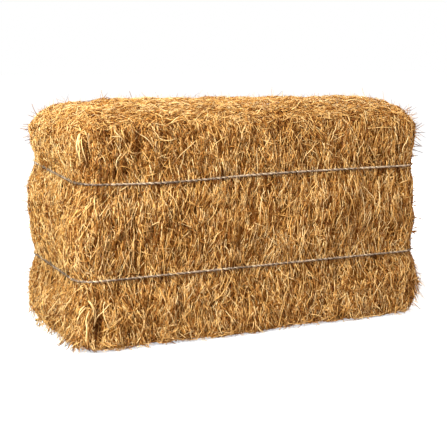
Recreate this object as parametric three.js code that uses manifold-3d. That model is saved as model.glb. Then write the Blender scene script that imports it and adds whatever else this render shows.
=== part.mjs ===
// A small square straw bale, tied with two loops of twine and standing on its narrow side.
//
// A baler rams straw into flakes and ties them into one block. Once the twine is cut the bale comes
// apart into those flakes, so every flake is a solid of its own, and so is every loop of twine.
//
// Millimetres. X runs along the bale, Y from front to back, Z up. The origin is the middle of the
// underside.
import * as THREE from "three";
import { mergeVertices } from "three/addons/utils/BufferGeometryUtils.js";
import Module from "manifold-3d";

const wasm = await Module();
wasm.setup();

// ---- driving dimensions -------------------------------------------------------------------------
const LENGTH = 812; // over both ends, before the twine draws them in
const DEPTH = 338; // over the bulge of the front and the back
const HEIGHT = 457; // up to the shoulders
const CROWN = 18; // how far the top swells above the shoulders
const CROWN_FLAT = 140; // the width of the flat strip along the top
const EDGE_RADIUS = 42; // shoulders and upright corners
const SHOULDER_TURN = 0.72; // the share of a quarter turn after which a shoulder meets the crown
const FOOT_RADIUS = 18; // edges of the underside along the front and the back
const END_FOOT_RADIUS = 32; // and along the ends
const TOP_SAG = 14; // how far the top falls towards the ends
const SAG_START = 210; // the distance from the middle at which it begins to fall

const FLAKE_SHARES = [1, 0.84, 1.14, 0.95, 1.06, 1.02, 0.92, 1.12, 0.9, 1.1, 0.95];
const SEAM_BEVEL = 5; // a flake's rim is rounded off by this, which leaves a groove at each seam
const GAP = 0.4; // between neighbours

const TWINE_DIAMETER = 5.4;
const TWINE_HEIGHTS = { twine_lower: 142, twine_upper: 330 };
const FRONT_WAIST = 6; // how far the twine pulls in the front
const BACK_WAIST = 11; // and the back
const WAIST_REACH = 44; // how far above and below a loop the pull is felt
// How far an end is pulled in by the twine, leans in at the top, and stands back between the loops.
const END_SHAPES = {
  left: { waist: 15, lean: 34, middle: 1 },
  right: { waist: 10, lean: 13, middle: 7 },
};
const MIDDLE_REACH = 55; // how far above and below the middle an end stands back
const END_DOME = 4; // how far the middle of an end stands out beyond its sides
const DOME_RIM = 72; // how far from an end's sides the dome has made most of its rise
const DOME_RIM_RISE = 2.8; // and how far it stands out there
const DOME_FLAT = 104; // here the dome becomes flat

// The bale has slipped out of true: both loops climb towards the back, the upper one hangs lower
// along the left of the front, and the back left corner of the foot stands off the floor.
const BACK_LIFTS = { twine_lower: 12, twine_upper: 18 };
const FRONT_SAG = 7;
const FRONT_SAG_PLACE = -220; // X
const FRONT_SAG_REACH = 170;
const FOOT_LIFT = 22;
const FOOT_LIFT_REACH = 75; // how far from the left end the foot is lifted

const KNOT_PLACES = { twine_lower: -62, twine_upper: 48 }; // X, on the back
const KNOT_RADIUS = 4;
const KNOT_TWINE_RADIUS = 2.2; // pulled tighter than the loop
const TAIL_LENGTHS = [24, 36];
// How far a tail has wandered sideways from the knot, and the share of its length hung down by then.
const TAIL_BENDS = [
  [2, 0],
  [9, 0.12],
  [13, 0.5],
  [10, 1],
];
const TAIL_RADIUS = 2.4;
const TAIL_CLEARANCE = 1.2; // between a tail and the straw behind it

const STRAW = { color: 0xd2a566, roughness: 0.85, metalness: 0 };
const TWINE = { color: 0x9c8a72, roughness: 0.7, metalness: 0 };

// ---- the pressed shape --------------------------------------------------------------------------
const HALF_LENGTH = LENGTH / 2;
const HALF_DEPTH = DEPTH / 2;
const TOP = HEIGHT + CROWN;
const [LOW, HIGH] = Object.values(TWINE_HEIGHTS);
const RIGHT_ANGLE = Math.PI / 2;

// The pull of the twine at a height: 1 beside a loop, falling to nothing.
const pullAt = (z) =>
  Math.exp(-(((z - LOW) / WAIST_REACH) ** 2)) + Math.exp(-(((z - HIGH) / WAIST_REACH) ** 2));

// How far out an end stands at a height.
function endAt(z, { waist, lean, middle }) {
  const aboveMiddle = Math.max(0, z / TOP - 0.5) * 2;
  const betweenLoops = Math.exp(-(((z - (LOW + HIGH) / 2) / MIDDLE_REACH) ** 2));
  const drawn = waist * pullAt(z) + lean * aboveMiddle ** 2 + middle * betweenLoops;
  return HALF_LENGTH - END_DOME - drawn;
}

// How far the top has fallen at a place along the bale.
function sagAt(x) {
  const outwards = Math.max(0, Math.abs(x) - SAG_START) / (HALF_LENGTH - SAG_START);
  return TOP_SAG * outwards ** 2;
}

// How far out the front or the back stands at a height.
const faceAt = (z, waist) => HALF_DEPTH - waist * pullAt(z);

// One half of the bale's outline as [y, z], from the underside up to the crown. Each twine height
// has a row of its own, so that the twine lies in the very bottom of its waist.
function halfOutline(waist) {
  const outline = [];
  const arcSteps = 3;
  for (let i = 0; i <= arcSteps; i++) {
    const a = (i / arcSteps) * RIGHT_ANGLE;
    outline.push([
      HALF_DEPTH - FOOT_RADIUS * (1 - Math.sin(a)),
      FOOT_RADIUS * (1 - Math.cos(a)),
    ]);
  }
  const rowsBelow = 3;
  const rowsBetween = 6;
  const rowsAbove = 2;
  for (let row = -rowsBelow; row <= rowsBetween + rowsAbove; row++) {
    const z = THREE.MathUtils.lerp(LOW, HIGH, row / rowsBetween);
    outline.push([faceAt(z, waist), z]);
  }
  const shoulderEnd = SHOULDER_TURN * RIGHT_ANGLE;
  const shoulderTop = HEIGHT - EDGE_RADIUS * (1 - Math.sin(shoulderEnd));
  for (let i = 0; i <= arcSteps; i++) {
    const a = (i / arcSteps) * shoulderEnd;
    outline.push([
      HALF_DEPTH - EDGE_RADIUS * (1 - Math.cos(a)),
      HEIGHT - EDGE_RADIUS * (1 - Math.sin(a)),
    ]);
  }
  const [shoulderY] = outline.at(-1);
  const crownSteps = 3;
  for (let i = 1; i <= crownSteps; i++) {
    const t = i / crownSteps;
    outline.push([
      THREE.MathUtils.lerp(shoulderY, CROWN_FLAT / 2, t),
      THREE.MathUtils.lerp(shoulderTop, TOP, Math.sin(t * RIGHT_ANGLE)),
    ]);
  }
  return outline;
}

// Draws a height in towards the middle, so that the outline shrinks above and below by an inset, or
// less at the flatter foot, while the two twine rows stay where they are.
function drawnIn(z, inset, sag) {
  const footInset = (inset * END_FOOT_RADIUS) / EDGE_RADIUS;
  if (z < LOW) return THREE.MathUtils.lerp(footInset, LOW, z / LOW);
  if (z > HIGH) return THREE.MathUtils.lerp(HIGH, TOP - inset - sag, (z - HIGH) / (TOP - HIGH));
  return z;
}

// One ring round the bale, across its length: up the back and down the front.
function ringAt(placeAt, inset) {
  const half = (side, waist) =>
    halfOutline(waist).map(([y, z]) => {
      const height = drawnIn(z, inset, sagAt(placeAt(z)));
      return new THREE.Vector3(placeAt(height), side * y * (1 - inset / HALF_DEPTH), height);
    });
  return [...half(1, BACK_WAIST), ...half(-1, FRONT_WAIST).reverse()];
}

// The steps of an end as [how far it stands in from the end, inset]: round the corner, then out to
// the domed middle.
function endSteps() {
  const steps = [];
  const cornerSteps = 4;
  for (let i = 0; i <= cornerSteps; i++) {
    const a = (i / cornerSteps) * RIGHT_ANGLE;
    steps.push([EDGE_RADIUS * (1 - Math.sin(a)), EDGE_RADIUS * (1 - Math.cos(a))]);
  }
  steps.push([-DOME_RIM_RISE, DOME_RIM], [-END_DOME, DOME_FLAT]);
  return steps;
}

const endRings = (side, shape) =>
  endSteps().map(([drop, inset]) => ringAt((z) => side * (endAt(z, shape) - drop), inset));

// ---- solids -------------------------------------------------------------------------------------
// A closed skin over rings of equally many points, which runs towards +X. The rings are closed into
// a loop, or the first and the last are capped by rungs from back to front.
function skin(rings, capped) {
  const around = rings[0].length;
  const index = [];
  const quad = (a, b, c, d) => index.push(a, b, c, a, c, d);
  for (let r = 0; r < rings.length - (capped ? 1 : 0); r++) {
    const here = r * around;
    const next = ((r + 1) % rings.length) * around;
    for (let i = 0; i < around; i++) {
      const j = (i + 1) % around;
      quad(here + i, here + j, next + j, next + i);
    }
  }
  if (capped) {
    const last = (rings.length - 1) * around;
    for (let i = 0; i < around / 2 - 1; i++) {
      const across = around - 1 - i;
      quad(i, across, across - 1, i + 1);
      quad(last + i, last + i + 1, last + across - 1, last + across);
    }
  }
  const geometry = new THREE.BufferGeometry().setFromPoints(rings.flat());
  geometry.setIndex(index);
  geometry.computeVertexNormals();
  return geometry;
}

function toSolid(geometry) {
  const bare = geometry.clone();
  bare.deleteAttribute("normal");
  bare.deleteAttribute("uv");
  const merged = mergeVertices(bare, 1e-3);
  return new wasm.Manifold(
    new wasm.Mesh({
      numProp: 3,
      vertProperties: merged.attributes.position.array,
      triVerts: new Uint32Array(merged.index.array),
    }),
  );
}

function toGeometry(solid) {
  const { vertProperties, triVerts } = solid.getMesh();
  const geometry = new THREE.BufferGeometry();
  geometry.setAttribute("position", new THREE.BufferAttribute(vertProperties, 3));
  geometry.setIndex(new THREE.BufferAttribute(triVerts, 1));
  geometry.computeVertexNormals();
  return geometry;
}

// ---- flakes -------------------------------------------------------------------------------------
// One flake between two places along the bale. The first and the last run out into an end.
function flake(from, to, isFirst, isLast) {
  const seamRings = (place, inwards) => [
    ringAt(() => place + (inwards * GAP) / 2, SEAM_BEVEL),
    ringAt(() => place + inwards * SEAM_BEVEL, 0),
  ];
  return skin(
    [
      ...(isFirst ? endRings(-1, END_SHAPES.left).reverse() : seamRings(from, 1)),
      ...(isLast ? endRings(1, END_SHAPES.right) : seamRings(to, -1).reverse()),
    ],
    true,
  );
}

function addFlakes(group) {
  const total = FLAKE_SHARES.reduce((sum, share) => sum + share, 0);
  let from = -HALF_LENGTH;
  FLAKE_SHARES.forEach((share, i) => {
    const to = from + (LENGTH * share) / total;
    const isLast = i === FLAKE_SHARES.length - 1;
    const name = `flake_${String(i + 1).padStart(2, "0")}`;
    addMesh(group, name, flake(from, to, i === 0, isLast), STRAW);
    from = to;
  });
}

// ---- twine --------------------------------------------------------------------------------------
// The level outline of the bale at a twine height: a closed row of points, anticlockwise from above.
function levelOutline(z) {
  const corner = (shape, sideX, sideY, waist) =>
    endSteps().map(([drop, inset]) => {
      const x = endAt(z, shape) - drop;
      const y = faceAt(z, waist) * (1 - inset / HALF_DEPTH);
      return new THREE.Vector2(sideX * x, sideY * y);
    });
  const { left, right } = END_SHAPES;
  return [
    ...bridged(corner(right, 1, 1, BACK_WAIST).reverse(), corner(left, -1, 1, BACK_WAIST)),
    ...bridged(corner(left, -1, -1, FRONT_WAIST).reverse(), corner(right, 1, -1, FRONT_WAIST)),
  ];
}

// Two rows of points, and points in between, so that a straight side can bend when the bale slips.
function bridged(before, after) {
  const steps = 24;
  const between = (i) => before.at(-1).clone().lerp(after[0], i / steps);
  return [...before, ...Array.from({ length: steps - 1 }, (_, i) => between(i + 1)), ...after];
}

// Moves the sides of a closed outline outwards by a distance.
function grown(outline, distance) {
  return outline.map((here, i) => {
    const before = outline.at(i - 1);
    const after = outline[(i + 1) % outline.length];
    const into = here.clone().sub(before).normalize();
    const out = after.clone().sub(here).normalize();
    const normal = new THREE.Vector2(into.y + out.y, -into.x - out.x).normalize();
    return normal.multiplyScalar(distance / (normal.x * into.y - normal.y * into.x)).add(here);
  });
}

// The loop itself: a round section carried along the grown outline.
function loop(z) {
  const sides = 8;
  const radius = TWINE_DIAMETER / 2;
  const outline = levelOutline(z);
  const rings = [];
  for (let i = 0; i < sides; i++) {
    const a = (i / sides) * 2 * Math.PI;
    const reach = radius + GAP + radius * Math.cos(a);
    const level = grown(outline, reach);
    rings.push(level.map((p) => new THREE.Vector3(p.x, p.y, z + radius * Math.sin(a))));
  }
  return skin(rings, false);
}

// A free end of the twine: out of the knot and down the back, clear of the straw.
function tail(x, z, length, side) {
  const clear = TAIL_RADIUS + TAIL_CLEARANCE;
  const points = TAIL_BENDS.map(([sideways, share]) => {
    const height = z - share * length;
    return new THREE.Vector3(x + side * sideways, faceAt(height, BACK_WAIST) + clear, height);
  });
  const path = new THREE.CatmullRomCurve3(points);
  const section = new THREE.Shape().absarc(0, 0, TAIL_RADIUS, 0, 2 * Math.PI);
  return new THREE.ExtrudeGeometry(section, { steps: 10, curveSegments: 4, extrudePath: path });
}

// An overhand knot is a trefoil, pulled tight over the loop.
function knot(x, z) {
  const steps = 40;
  const sides = 7;
  const [turns, dips] = [2, 3];
  const trefoil = new THREE.TorusKnotGeometry(
    KNOT_RADIUS,
    KNOT_TWINE_RADIUS,
    steps,
    sides,
    turns,
    dips,
  );
  const thickness = KNOT_RADIUS / 2 + KNOT_TWINE_RADIUS;
  trefoil.rotateX(RIGHT_ANGLE);
  trefoil.translate(x, faceAt(z, BACK_WAIST) + thickness + GAP, z);
  return trefoil;
}

function addTwine(group) {
  for (const [name, z] of Object.entries(TWINE_HEIGHTS)) {
    const x = KNOT_PLACES[name];
    const pieces = [
      loop(z),
      knot(x, z),
      tail(x, z, TAIL_LENGTHS[0], -1),
      tail(x, z, TAIL_LENGTHS[1], 1),
    ];
    const joined = pieces.map(toSolid).reduce((whole, piece) => whole.add(piece));
    addMesh(group, name, toGeometry(joined), TWINE);
  }
}

// ---- slip ---------------------------------------------------------------------------------------
// How far a point of the true bale has slipped up or down. Between the foot, the loops and the top
// the slip changes evenly.
function slipAt(x, y, z) {
  const { clamp, lerp } = THREE.MathUtils;
  const backwards = clamp(y / DEPTH + 0.5, 0, 1);
  const leftwards = clamp((-x - HALF_LENGTH) / FOOT_LIFT_REACH + 1, 0, 1);
  const sag = FRONT_SAG * Math.exp(-(((x - FRONT_SAG_PLACE) / FRONT_SAG_REACH) ** 2));
  const foot = FOOT_LIFT * leftwards ** 2 * backwards;
  const lower = BACK_LIFTS.twine_lower * backwards;
  const upper = lerp(-sag, BACK_LIFTS.twine_upper, backwards);
  if (z < LOW) return lerp(foot, lower, z / LOW);
  if (z < HIGH) return lerp(lower, upper, (z - LOW) / (HIGH - LOW));
  return lerp(upper, 0, (z - HIGH) / (TOP - HIGH));
}

function slip(geometry) {
  const points = geometry.attributes.position;
  for (let i = 0; i < points.count; i++) {
    const z = points.getZ(i);
    points.setZ(i, z + slipAt(points.getX(i), points.getY(i), z));
  }
  geometry.computeVertexNormals();
  return geometry;
}

function addMesh(group, name, geometry, look) {
  slip(geometry);
  const mesh = new THREE.Mesh(geometry, new THREE.MeshStandardMaterial(look));
  mesh.name = name;
  group.add(mesh);
}

const group = new THREE.Group();
addFlakes(group);
addTwine(group);

export default group;
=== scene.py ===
import math

import bmesh
import bpy
import numpy as np
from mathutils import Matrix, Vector


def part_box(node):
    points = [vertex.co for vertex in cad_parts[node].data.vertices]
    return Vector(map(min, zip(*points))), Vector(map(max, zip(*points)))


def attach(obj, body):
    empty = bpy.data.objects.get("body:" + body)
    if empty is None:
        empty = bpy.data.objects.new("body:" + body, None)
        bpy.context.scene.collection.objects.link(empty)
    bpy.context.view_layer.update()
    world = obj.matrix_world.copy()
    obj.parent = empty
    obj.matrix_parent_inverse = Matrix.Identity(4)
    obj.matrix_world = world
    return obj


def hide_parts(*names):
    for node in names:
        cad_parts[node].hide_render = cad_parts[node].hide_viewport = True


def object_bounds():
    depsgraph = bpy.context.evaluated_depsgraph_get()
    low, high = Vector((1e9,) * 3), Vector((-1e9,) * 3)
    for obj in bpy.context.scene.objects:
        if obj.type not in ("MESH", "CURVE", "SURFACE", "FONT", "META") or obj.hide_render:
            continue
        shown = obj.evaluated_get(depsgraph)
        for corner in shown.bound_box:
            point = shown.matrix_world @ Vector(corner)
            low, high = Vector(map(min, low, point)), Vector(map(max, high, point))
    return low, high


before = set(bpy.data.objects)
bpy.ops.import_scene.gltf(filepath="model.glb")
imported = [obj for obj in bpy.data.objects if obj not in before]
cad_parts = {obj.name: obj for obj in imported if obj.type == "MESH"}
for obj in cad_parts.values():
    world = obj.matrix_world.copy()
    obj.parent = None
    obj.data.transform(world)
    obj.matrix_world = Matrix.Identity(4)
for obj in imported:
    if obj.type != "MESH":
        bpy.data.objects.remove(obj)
cadBox = np.array([list(corner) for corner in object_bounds()])
halfLength = cadBox[1][0]
halfDepth = cadBox[1][1]
topHeight = cadBox[1][2]
rng = np.random.default_rng(20)

# the bale's pressed shape, which every straw follows
baleShape = {
    "corner": 0.042,  # rounding of the upright corners and the shoulders
    "foot": 0.006,  # height of the rounding under the front and the back
    "endFoot": 0.038,  # and under the ends
    "crown": 0.018,  # how far the top swells above the shoulders
    "crownFlat": 0.070,  # half the width of its flat strip
    "sag": 0.014,  # how far the top falls towards the ends
    "sagStart": 0.210,  # how far from the middle it begins to fall
    "twines": (0.142, 0.330),  # heights of the two loops where they cross the front
    "waistReach": 0.044,  # how far above and below a twine its pull is felt
    "frontWaist": 0.006,  # how far the twine pulls in the front
    "backWaist": 0.011,  # and the back
    # how far each end is drawn in by the twine, at the top, and halfway up
    "leftEnd": {"waist": 0.015, "lean": 0.034, "middle": 0.0},
    "rightEnd": {"waist": 0.010, "lean": 0.013, "middle": 0.007},
    "middleReach": 0.055,
    "backLifts": (0.012, 0.018),  # how much higher the loops run at the back
    "frontSag": (0.007, -0.220, 0.170),  # the upper loop hangs lower on the front: how far, place, reach
    "footLift": (0.022, 0.075),  # the left foot stands off the floor at the back: how far, and its reach
    "sunk": 0.0020,  # how far the straws' mean level lies inside the solid
    "seamDepth": 0.006,
    "seamWidth": 0.006,
    "seamDrift": 0.010,  # how far a seam wanders to either side
    "seamOpenness": (0.55, 0.6),  # how open the seams are, and how much that varies along them
    "lumps": [(0.0026, 0.16), (0.0020, 0.06)],  # height and size
    "calm": (0.8, 0.016),  # how much flatter the lumps are at a twine, and how far from it
    "flatFoot": 0.030,  # no lump stands out below this height
    "pits": {"depth": 0.0045, "size": 0.020, "share": 0.60, "slope": 0.6},
    "hollows": [  # larger dark hollows, dark from their depth and from painted shade on their straws: x, z, half width, half height and depth, on the front
        (-0.366, 0.388, 0.010, 0.048, 0.020),
        (-0.330, 0.425, 0.014, 0.008, 0.010),
        (-0.300, 0.345, 0.040, 0.007, 0.008),
        (-0.262, 0.400, 0.009, 0.040, 0.014),
        (-0.350, 0.052, 0.010, 0.034, 0.018),
        (-0.150, 0.420, 0.012, 0.010, 0.008),
        (0.060, 0.425, 0.020, 0.008, 0.008),
    ],
    "groove": 0.0015,  # how deep the twine presses the straws beside it
    "grooveReach": 0.0050,
}


def meshPoints(mesh):
    points = np.empty(len(mesh.vertices) * 3)
    mesh.vertices.foreach_get("co", points)
    return points.reshape(-1, 3)


def waves(size, count=14):
    # a smooth random field: a sum of waves in random directions, about -1 to 1
    ways = rng.normal(size=(count, 3))
    ways *= 2 * math.pi / size / np.linalg.norm(ways, axis=1)[:, None] * rng.uniform(0.6, 1.5, (count, 1))
    phases = rng.uniform(0, 2 * math.pi, count)
    return lambda points: np.sin(points @ ways.T + phases).sum(axis=1) / math.sqrt(count / 1.5)


flakeNames = sorted(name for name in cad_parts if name.startswith("flake"))
twineNames = sorted(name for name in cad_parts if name.startswith("twine"))
twineHeights = baleShape["twines"]
seams = np.array([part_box(name)[1][0] for name in flakeNames[:-1]])
lumpWaves = [(height, waves(size)) for height, size in baleShape["lumps"]]
pitWave = waves(baleShape["pits"]["size"])
seamDrift = waves(0.3)
seamFade = waves(0.18)


def bell(distance):
    return np.exp(-(distance ** 2))


def twinePull(z):
    return sum(bell((z - height) / baleShape["waistReach"]) for height in twineHeights)


def slipAt(x, y, z):
    # how far the bale has slipped up or down out of true; z is the height in the true bale
    lower, upper = twineHeights
    backwards = np.clip(y / halfDepth / 2 + 0.5, 0, 1)
    sag, place, reach = baleShape["frontSag"]
    lift, liftReach = baleShape["footLift"]
    foot = lift * np.clip((-x - halfLength) / liftReach + 1, 0, 1) ** 2 * backwards
    atLower = baleShape["backLifts"][0] * backwards
    atUpper = baleShape["backLifts"][1] * backwards - sag * bell((x - place) / reach) * (1 - backwards)
    slip = foot + (atLower - foot) * np.clip(z / lower, 0, 1)
    slip += (atUpper - atLower) * np.clip((z - lower) / (upper - lower), 0, 1)
    return slip - atUpper * np.clip((z - upper) / (topHeight - upper), 0, 1)


def trueHeight(points):
    x, y, z = points.T
    height = z
    for _ in range(2):
        height = z - slipAt(x, y, height)
    return height


def endPlace(x, z):
    # how far out the end on a point's side stands at its height
    lean = np.clip(2 * z / topHeight - 1, 0, None) ** 2
    middle = bell((z - sum(twineHeights) / 2) / baleShape["middleReach"])
    drawn = [
        end["waist"] * twinePull(z) + end["lean"] * lean + end["middle"] * middle
        for end in (baleShape["leftEnd"], baleShape["rightEnd"])
    ]
    return halfLength - np.where(x < 0, *drawn)


def roofPlace(x, y):
    flat, start = baleShape["crownFlat"], baleShape["sagStart"]
    slope = np.clip((np.abs(y) - flat) / (halfDepth - flat), 0, 1)
    outwards = np.clip((np.abs(x) - start) / (halfLength - start), 0, 1)
    fallen = baleShape["crown"] * np.sin(slope * math.pi / 2) ** 2 + baleShape["sag"] * outwards ** 2
    return topHeight - fallen


def surfaceAt(points):
    # how far each point lies outside the bale's smooth surface, and the way out
    x, y, z = points[:, 0], points[:, 1], trueHeight(points)
    corner = baleShape["corner"]
    endX = endPlace(x, z)
    sideY = halfDepth - np.where(y < 0, baleShape["frontWaist"], baleShape["backWaist"]) * twinePull(z)
    nearEnd = np.clip((np.abs(x) - endX) / corner + 1, 0, 1)
    foot = baleShape["foot"] + (baleShape["endFoot"] - baleShape["foot"]) * nearEnd
    over = z > topHeight / 2
    radius = np.stack([np.full_like(x, corner), np.full_like(x, corner), np.where(over, corner, foot)], 1)
    reach = np.stack([
        np.abs(x) - (endX - corner),
        np.abs(y) - (sideY - corner),
        np.where(over, z - (roofPlace(x, y) - corner), foot - z),
    ], 1)
    reach = np.maximum(reach, 1e-6) / radius
    size = np.linalg.norm(reach, axis=1)
    steep = reach / radius
    steepness = np.linalg.norm(steep, axis=1)
    way = steep / steepness[:, None]
    way *= np.stack([np.sign(x), np.sign(y), np.where(over, 1, -1)], 1)
    return (size - 1) * size / steepness, way


def pitsAt(points):
    # 0 on the open surface to 1 in the bottom of a pit or hollow, and how deep it is there
    pits = baleShape["pits"]
    pit = np.clip((pitWave(points) - pits["share"]) / pits["slope"], 0, 1)
    depth = pits["depth"] * pit
    for x, z, width, height, deep in baleShape["hollows"]:
        dark = bell((points[:, 0] - x) / width) * bell((points[:, 2] - z) / height) * (points[:, 1] < 0)
        pit = np.maximum(pit, dark)
        depth = np.maximum(depth, deep * dark)
    return pit, depth


def lumpsAt(points):
    # the uneven surface: soft lumps, pits, and a groove where two flakes meet
    height = sum(size * wave(points) for size, wave in lumpWaves)
    drift = baleShape["seamDrift"] * seamDrift(points)
    away = np.abs(points[:, :1] + drift[:, None] - seams).min(axis=1)
    usual, spread = baleShape["seamOpenness"]
    openness = np.clip(usual + spread * seamFade(points), 0, 1)
    height -= baleShape["seamDepth"] * openness * bell(away / baleShape["seamWidth"])
    height -= pitsAt(points)[1]
    flatter, reach = baleShape["calm"]
    for level in twineHeights:
        height *= 1 - flatter * bell((trueHeight(points) - level) / reach)
    height -= baleShape["sunk"]
    return np.where(points[:, 2] < baleShape["flatFoot"], np.minimum(height, 0), height)


def settle(points, heights):
    # moves points onto the uneven surface, or to a height above it
    heights = heights + lumpsAt(points)
    for _ in range(3):
        away, way = surfaceAt(points)
        points = points + way * (heights - away)[:, None]
    return points, way


# every straw is cut from one sheet: its tone runs across the sheet's first part, and the stem along
# it; bundles of fine straws are cut from the rest
strawSheet = {
    "map": "OFBake",
    "single": 0.66,  # where the bundles begin
    "strip": 0.010,  # width of the strip a straw takes
    "bundle": 0.150,  # and a bundle
    "margin": 0.01,
    "perMetre": 2.0,  # how much of the sheet's length a metre of straw takes
}


def unit(vectors):
    return vectors / (np.linalg.norm(vectors, axis=-1, keepdims=True) + 1e-12)


def strawMesh(batch, sides=3):
    # closed prisms along lines; lines and outs are (straws, rings, 3), outs the way out of the bale
    lines, start = batch["lines"], batch["start"]
    count, rings = lines.shape[:2]
    along = unit(np.gradient(lines, axis=1))
    across = unit(np.cross(along, batch["outs"]))
    upright = np.cross(across, along)
    turn = batch["roll"][:, None, None] + np.arange(sides) * 2 * math.pi / sides
    turn = np.broadcast_to(turn, (count, rings, sides))
    wide = batch["widths"][:, :, None] * np.cos(turn)
    thick = batch["thick"][:, :, None] * np.sin(turn)
    points = lines[:, :, None] + wide[..., None] * across[:, :, None]
    points = points + thick[..., None] * upright[:, :, None]

    first = np.arange(count)[:, None, None] * rings * sides
    ring = np.arange(rings - 1)[None, :, None] * sides
    side = np.arange(sides)[None, None, :]
    a = first + ring + side
    b = first + ring + (side + 1) % sides
    quads = np.stack([a, b, b + sides, a + sides], -1).reshape(-1, 4)
    ends = np.arange(sides)
    heads = first[:, 0]
    caps = np.concatenate([heads + ends[::-1], heads + (rings - 1) * sides + ends])

    strip = batch["strip"][:, None, None] / sides
    left = batch["across"][:, None, None] + strip * side + 0 * ring
    length = np.linalg.norm(np.diff(lines, axis=1), axis=2).cumsum(axis=1)
    v = start[:, None] + np.concatenate([np.zeros((count, 1)), length], 1) * strawSheet["perMetre"]
    low = np.broadcast_to(v[:, :-1, None], left.shape)
    high = np.broadcast_to(v[:, 1:, None], left.shape)
    corners = [(left, low), (left + strip, low), (left + strip, high), (left, high)]
    quadUv = np.stack([np.stack(corner, -1) for corner in corners], -2).reshape(-1, 2)
    spin = ends * 2 * math.pi / sides
    disc = np.stack([np.cos(spin), np.sin(spin)], -1) * strawSheet["strip"] / 2
    middle = np.stack([batch["across"], start], -1) + strawSheet["strip"] / 2
    capUv = (middle[:, None] + disc).reshape(-1, 2)
    uv = np.concatenate([quadUv, capUv, capUv])
    return {"points": points.reshape(-1, 3), "quads": quads, "caps": caps, "uv": uv, "sides": sides}


def joinedMesh(name, parts):
    # joins batches of prisms into one mesh
    points = np.concatenate([part["points"] for part in parts])
    corners, sizes, flat = [], [], []
    offset = 0
    for part in parts:
        corners += [part["quads"].ravel() + offset, part["caps"].ravel() + offset]
        sizes += [np.full(len(part["quads"]), 4), np.full(len(part["caps"]), part["sides"])]
        flat += [np.zeros(len(part["quads"]), bool), np.ones(len(part["caps"]), bool)]
        offset += len(part["points"])
    corners, sizes = np.concatenate(corners), np.concatenate(sizes)
    mesh = bpy.data.meshes.new(name)
    mesh.vertices.add(len(points))
    mesh.vertices.foreach_set("co", points.astype(np.float32).ravel())
    mesh.loops.add(len(corners))
    mesh.loops.foreach_set("vertex_index", corners.astype(np.int32))
    mesh.polygons.add(len(sizes))
    starts = np.concatenate([[0], sizes.cumsum()[:-1]])
    mesh.polygons.foreach_set("loop_start", starts.astype(np.int32))
    mesh.update(calc_edges=True)
    sharp = mesh.attributes.new("sharp_face", "BOOLEAN", "FACE")
    sharp.data.foreach_set("value", np.concatenate(flat))
    layer = mesh.uv_layers.new(name=strawSheet["map"])
    uv = np.concatenate([part["uv"] for part in parts])
    layer.data.foreach_set("uv", uv.astype(np.float32).ravel())
    mesh.validate()
    return mesh


def linked(name, mesh, material):
    mesh.materials.append(material)
    thing = bpy.data.objects.new(name, mesh)
    bpy.context.scene.collection.objects.link(thing)
    return thing


# the straws from the bedding up: how high their two ends lie and how far the middle rises, how they
# bend and wave, and what share stray from the grain or pass over the twine
strawKinds = {
    "bundles": {  # flat bundles of fine straws
        "count": 7000, "rings": 3, "length": (0.035, 0.070), "halfWidth": (0.0035, 0.0060),
        "flat": (0.10, 0.20), "ends": (-0.0100, -0.0060), "rise": (0.000, 0.003), "tone": (0.0, 1.0),
        "bend": 3, "wave": 0, "stray": 0.04, "over": 0.0, "bundled": True,
    },
    "stubble": {
        "count": 50000, "rings": 2, "length": (0.010, 0.036), "halfWidth": (0.00045, 0.00085),
        "flat": (0.60, 1.00), "ends": (-0.0070, 0.0026), "rise": (0.0, 0.0), "tone": (0.00, 0.90),
        "bend": 0, "wave": 0, "stray": 0.06, "over": 0.06,
    },
    "wisps": {
        "count": 13000, "rings": 3, "length": (0.018, 0.050), "halfWidth": (0.0005, 0.0009),
        "flat": (0.50, 0.90), "ends": (-0.0045, 0.0008), "rise": (0.000, 0.004), "tone": (0.10, 0.90),
        "bend": 14, "wave": 0.22, "stray": 0.10, "over": 0.14,
    },
    "stems": {
        "count": 3600, "rings": 4, "length": (0.025, 0.065), "halfWidth": (0.0005, 0.0010),
        "flat": (0.50, 0.90), "ends": (-0.0040, 0.0012), "rise": (0.000, 0.005), "tone": (0.35, 0.92),
        "bend": 12, "wave": 0.26, "stray": 0.14, "over": 0.16,
    },
    "leaves": {
        "count": 450, "rings": 7, "length": (0.035, 0.100), "halfWidth": (0.0007, 0.0013),
        "flat": (0.14, 0.40), "ends": (-0.0030, 0.0010), "rise": (0.001, 0.005), "tone": (0.62, 0.95),
        "bend": 4, "wave": 0.14, "stray": 0.20, "over": 0.15,
    },
}

strewn = {
    "lengths": (1.4, 2.0),  # the first is lower than the second, so that short straws are commoner
    "taper": 0.45,
    "waveStep": 2.1,  # how fast a straw's wave runs along its rings
    "arch": 0.8,  # below 1, the middle rises in a broad arch
}

toneShifts = {  # how much a place makes its straws paler or darker, partly as painted light and shade
    "drift": 0.05,
    # painted light: straws on the top, where the surface faces up, are paler
    "paintedTopLight": 0.08,
    "flatFrom": (0.85, 0.12),  # how far the surface faces up there, and how soon it takes effect
    # painted shade: straws that start in a pit or hollow are darker
    "pit": -0.50,
    "splay": -0.06,
    "extremes": 0.55,  # below 1, more straws are pale or dark than between
}

paintedFrontLightAndShade = [  # painted light and shade: broad paler and darker places on the front: x, z, half width, half height, tone
    (0.020, 0.330, 0.130, 0.025, 0.09),
    (0.185, 0.210, 0.050, 0.050, 0.10),
    (0.030, 0.150, 0.200, 0.040, 0.08),
    (-0.200, 0.427, 0.200, 0.020, -0.07),
    (0.200, 0.412, 0.150, 0.020, -0.05),
]

faceShares = {"front": 1.0, "back": 1.0, "left": 1.1, "right": 1.1, "top": 1.15, "bottom": 0.30}

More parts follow.
